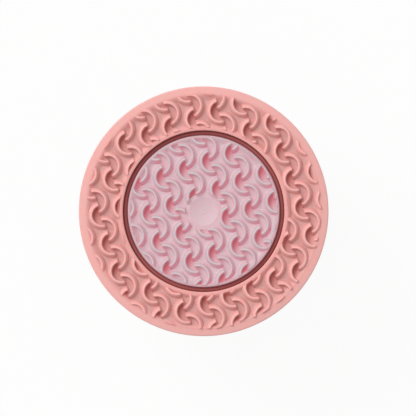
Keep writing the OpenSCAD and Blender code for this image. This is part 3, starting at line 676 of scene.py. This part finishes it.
def painted_shade_masks(finish, near_half_rows):
    """Two masks of painted shade over the ridges' grid: under the upper left wall of each hollow, and on each
    lower right back, the sides that the lamp leaves in shadow.
    """
    x, y = finish.axis("X"), finish.axis("Y")
    along = x * math.cos(row_turn) + y * math.sin(row_turn)
    across = y * math.cos(row_turn) - x * math.sin(row_turn)
    painted_hollow_shade = painted_back_shade = 0.0
    for bulge, shade_share in SHADE_OF_BULGE:
        shift = -ridge_shift if bulge > 0 else 0.0
        half = 0.5 if near_half_rows == (bulge > 0) else 0.0
        u = (((along - shift) / row_pitch + 0.5).math("FRACT") - 0.5) * row_pitch
        v = ((across / row_gap + (0.5 - half)).math("FRACT") - 0.5) * row_gap
        off = (u**2 + v**2) ** 0.5
        bulge_side = u * bulge
        toward_lamp = v * LAMP_UP_SHARE - u * LAMP_LEFT_SHARE

        # Painted shade in each hollow: strongest under its upper left wall, which the lamp at the upper left
        # leaves in shadow, and never below a least share.
        hollow_shade_ramp = toward_lamp.between(-0.5 * MM, hollow_r) * (1 - LEAST_HOLLOW_SHADE) + LEAST_HOLLOW_SHADE
        hollow = hollow_shade_ramp * bulge_side.between(-0.1 * MM, 0.6 * MM)
        within_wall = 1 - off.between(hollow_r - 0.1 * MM, ridge_r - 0.1 * MM)
        painted_hollow_shade = hollow * within_wall * shade_share + painted_hollow_shade

        # Painted shade on each lower right back, the side that is turned away from the lamp.
        past_crest = off.between(ridge_r + 0.05 * MM, ridge_r + 0.4 * MM)
        back = past_crest * (1 - off.between(back_r, back_r + 0.3 * MM))
        away_from_lamp = 1 - toward_lamp.between(-2.6 * MM, 1 * MM)
        painted_back_shade = back * bulge_side.between(-0.2 * MM, 0.2 * MM) * away_from_lamp + painted_back_shade
    return painted_hollow_shade, painted_back_shade


def silicone(
    name, flat, painted_floor_tone, crest, hollow, back, crest_highlight_drop, band, fade, near_half_rows, scatter, red_reach, painted_glow
):
    """Satin silicone whose colour carries painted light: pale painted highlights on the crests and outer edge,
    a painted tone on the floor, and painted shade, deepest under the hollow walls, on the lower right sides of
    the ridges.
    """
    constants = {
        "IOR": 1.41,
        "Specular IOR Level": 0.3,
        "Subsurface Weight": scatter,
        "Subsurface Radius": (1.0, 0.09, 0.11),
        # Painted glow: above zero the silicone gives off faint light of its own, which lifts its shade; on the
        # ring it is zero.
        "Subsurface Scale": red_reach,
        "Emission Color": linear(232, 150, 168),
        "Emission Strength": painted_glow,
    }
    finish = Finish(name, constants)
    radius = (finish.axis("X") ** 2 + finish.axis("Y") ** 2) ** 0.5
    inside = radius.between(band[0] - 0.2 * MM, band[0]) * (1 - radius.between(band[1] - fade, band[1]))
    # Painted highlight: the ring's outer rim is mixed towards the pale crest colour.
    rim_highlight = radius.between(head_r - 2 * MM, head_r - 1.2 * MM)
    height = finish.axis("Z")
    # By height, the floor takes a painted tone and the crests a pale painted highlight.
    low = 1 - height.between(floor_z + 0.1 * MM, floor_z + 0.8 * MM)
    high = height.between(crest_z - crest_highlight_drop, crest_z - 0.3 * crest_highlight_drop)
    painted_hollow_shade, painted_back_shade = painted_shade_masks(finish, near_half_rows)
    # Painted light goes in layer by layer: floor tone, shade on the backs, highlights on the crests and the
    # outer rim, shade in the hollows.
    colour = finish.mix(low, flat, painted_floor_tone)
    colour = finish.mix(painted_back_shade * inside, colour, back)
    colour = finish.mix(high, colour, crest)
    colour = finish.mix(rim_highlight * RIM_HIGHLIGHT, colour, crest)
    colour = finish.mix(painted_hollow_shade * inside, colour, hollow)
    cloud = finish.noise(6 * MM, 2.0)
    colour = finish.mix(cloud.between(0.3, 0.75) * 0.03, colour, hollow)
    finish.paint("Base Color", colour)
    finish.paint("Roughness", finish.noise(0.9 * MM, 4.0) * 0.16 + 0.42)
    finish.bump(finish.noise(0.12 * MM, 2.0), 0.002 * MM)
    return finish.material


# The ring's colours carry painted light: its floor tone is a painted shade, its crest colour a painted
# highlight that also paints the outer rim, and its hollow and back colours are painted shade.
ring_silicone = silicone(
    "salmon_silicone",
    flat=linear(240, 174, 169),
    painted_floor_tone=linear(221, 167, 162),
    crest=linear(250, 188, 183),
    hollow=linear(192, 106, 101),
    back=linear(226, 163, 158),
    crest_highlight_drop=0.12 * MM,
    band=ring_band,
    fade=1.2 * MM,
    near_half_rows=True,
    scatter=0.25,
    red_reach=0.8 * MM,
    painted_glow=0.0,
)
# The disc carries painted light: its glow lifts the shade, so these colours are set lower, and its floor tone
# is paler than its ridge sides to lift the floor's shade. Its crest colour is a painted highlight, and its
# hollow and back colours are painted shade.
disc_silicone = silicone(
    "pale_pink_silicone",
    flat=linear(172, 166, 168),
    painted_floor_tone=linear(190, 180, 183),
    crest=linear(172, 191, 190),
    hollow=linear(174, 40, 56),
    back=linear(190, 137, 148),
    crest_highlight_drop=0.07 * MM,
    band=disc_band,
    fade=0.1 * MM,
    near_half_rows=False,
    scatter=0.5,
    red_reach=0.9 * MM,
    painted_glow=0.3,
)
print("silicones:", ring_silicone.name, "and", disc_silicone.name)

# %% [markdown]
# The other pieces need two kinds of finish, moulded plastic or rubber and turned metal. Every piece takes the
# finish of the material that is named for it, and the two brush faces take their own silicones.


# %% Finishes of the rigid pieces
def darkened(colour, share):
    """The same colour at a share of its brightness."""
    return tuple(c * share for c in colour[:3]) + (1.0,)


def moulded(name, colour, roughness, grain=0.25 * MM):
    """Moulded plastic or rubber with a fine matte texture and faint flow clouds."""
    finish = Finish(name, {"IOR": 1.46})
    clouds = finish.noise(9 * MM, 3.0).between(0.3, 0.8)
    finish.paint("Base Color", finish.mix(clouds * 0.5, colour, darkened(colour, 0.86)))
    finish.paint("Roughness", finish.noise(1.5 * MM) * 0.14 + (roughness - 0.07))
    finish.bump(finish.noise(grain, 2.0), 0.01 * MM)
    return finish.material


def turned_metal(name, colour, roughness=0.32):
    """Metal with a fine, uneven polish."""
    finish = Finish(name, {"Metallic": 1.0})
    layers = finish.noise(0.4 * MM, 5.0)
    finish.paint("Base Color", finish.mix(layers * 0.25, colour, darkened(colour, 0.7)))
    finish.paint("Roughness", layers * 0.2 + (roughness - 0.1))
    finish.bump(finish.noise(0.08 * MM, 2.0), 0.002 * MM)
    return finish.material


finishes = {
    "salmon_silicone": moulded("plain_salmon_silicone", linear(229, 163, 158), 0.45),
    "pale_pink_silicone": disc_silicone,
    "maroon_silicone": moulded("maroon_silicone", linear(164, 88, 84), 0.5, 0.2 * MM),
    "blush_shell": moulded("blush_shell", linear(233, 180, 174), 0.5),
    "white_resin": moulded("white_resin", linear(238, 234, 228), 0.4),
    "acetal": moulded("acetal", linear(244, 241, 232), 0.3),
    "bright_steel": turned_metal("bright_steel", linear(185, 188, 192)),
    "bearing_bronze": turned_metal("bearing_bronze", linear(196, 154, 90), 0.4),
    "black_rubber": moulded("black_rubber", linear(58, 51, 54), 0.6),
    "black_plastic": moulded("black_plastic", linear(44, 44, 47), 0.45),
    "green_board": moulded("green_board", linear(47, 107, 70), 0.35),
    "cell_foil": turned_metal("cell_foil", linear(154, 160, 166), 0.45),
    "lead_insulation": moulded("lead_insulation", linear(184, 50, 42), 0.35),
    "gold_plate": turned_metal("gold_plate", linear(217, 180, 90), 0.25),
    "frosted_lens": moulded("frosted_lens", linear(242, 242, 242), 0.35),
}


def dress(piece, material):
    """Gives a piece one material in the place of all it had."""
    piece.data.materials.clear()
    piece.data.materials.append(material)


slots = {part["node"]: part["material_slot"] for part in frame["record"]["subparts"]}
for name, node in frame["nodes"].items():
    dress(node, finishes[slots[name]])
for piece, body, node, slot in soft_pieces:
    dress(piece, finishes[slot])
dress(brush_ring, ring_silicone)
dress(brush_disc, disc_silicone)
print("finishes in use:", len(finishes) + 1)

# %% [markdown]
# The camera looks straight down at the face from far away through a long lens, so the face fills the picture
# evenly and the sides of the body stay hidden. It stands a hair off the axis, as a camera held by hand would.

# %% Camera straight above the face
camera_away = 1.0
sensor_w = 36
field_w = 99.84 * MM
camera_data = bpy.data.cameras.new("camera")
camera = bpy.data.objects.new("camera", camera_data)
bpy.context.collection.objects.link(camera)
camera.location = (1.05 * MM, 0.78 * MM, crest_z + camera_away)
camera_data.sensor_width = sensor_w
camera_data.lens = sensor_w * camera_away / field_w
bpy.context.scene.camera = camera
print("lens in millimetres:", round(camera_data.lens))

# %% [markdown]
# The floor is a plain white sheet. Seen straight by the camera it is lifted almost to paper white, so the
# brush stands free, but it keeps a trace of the shadow. It lies just below the foot, so that the two surfaces
# do not share a plane. One broad lamp from the upper left and a bright sky give the soft relief.

# %% Floor and light
floor_drop = 0.05 * MM
white_share = 0.93
sky_strength = 0.55
bpy.ops.object.select_all(action="DESELECT")
bpy.ops.mesh.primitive_plane_add(size=3, location=(0, 0, -floor_drop))
floor = bpy.context.object
floor.name = "floor"
sheet = Finish("white_sheet", {"Base Color": linear(235, 235, 235), "Roughness": 0.9})
glow = sheet.node("ShaderNodeEmission", {"Color": linear(255, 255, 255), "Strength": 1.0})
seen = sheet.node("ShaderNodeLightPath", output="Is Camera Ray")
paper = Value(sheet, sheet.shader.outputs[0])
mixed = sheet.node("ShaderNodeMixShader", {0: seen * white_share, 1: paper, 2: glow})
sheet.tree.links.new(mixed.socket, sheet.tree.nodes["Material Output"].inputs["Surface"])
floor.data.materials.append(sheet.material)

world = bpy.data.worlds.new("sky")
world.use_nodes = True
background = world.node_tree.nodes["Background"]
background.inputs["Color"].default_value = (1, 1, 1, 1)
background.inputs["Strength"].default_value = sky_strength
bpy.context.scene.world = world

key_data = bpy.data.lights.new("key", "SUN")
key_data.energy = 1.85
key_data.angle = math.radians(36)
key = bpy.data.objects.new("key", key_data)
bpy.context.collection.objects.link(key)
bearing, height = math.radians(136), math.radians(45)
level = math.cos(height)
toward = Vector((math.cos(bearing) * level, math.sin(bearing) * level, math.sin(height)))
key.rotation_euler = toward.to_track_quat("Z", "Y").to_euler()
bpy.context.scene.view_settings.view_transform = "Standard"
print("lamp strength:", round(key_data.energy, 2), "sky strength:", sky_strength)
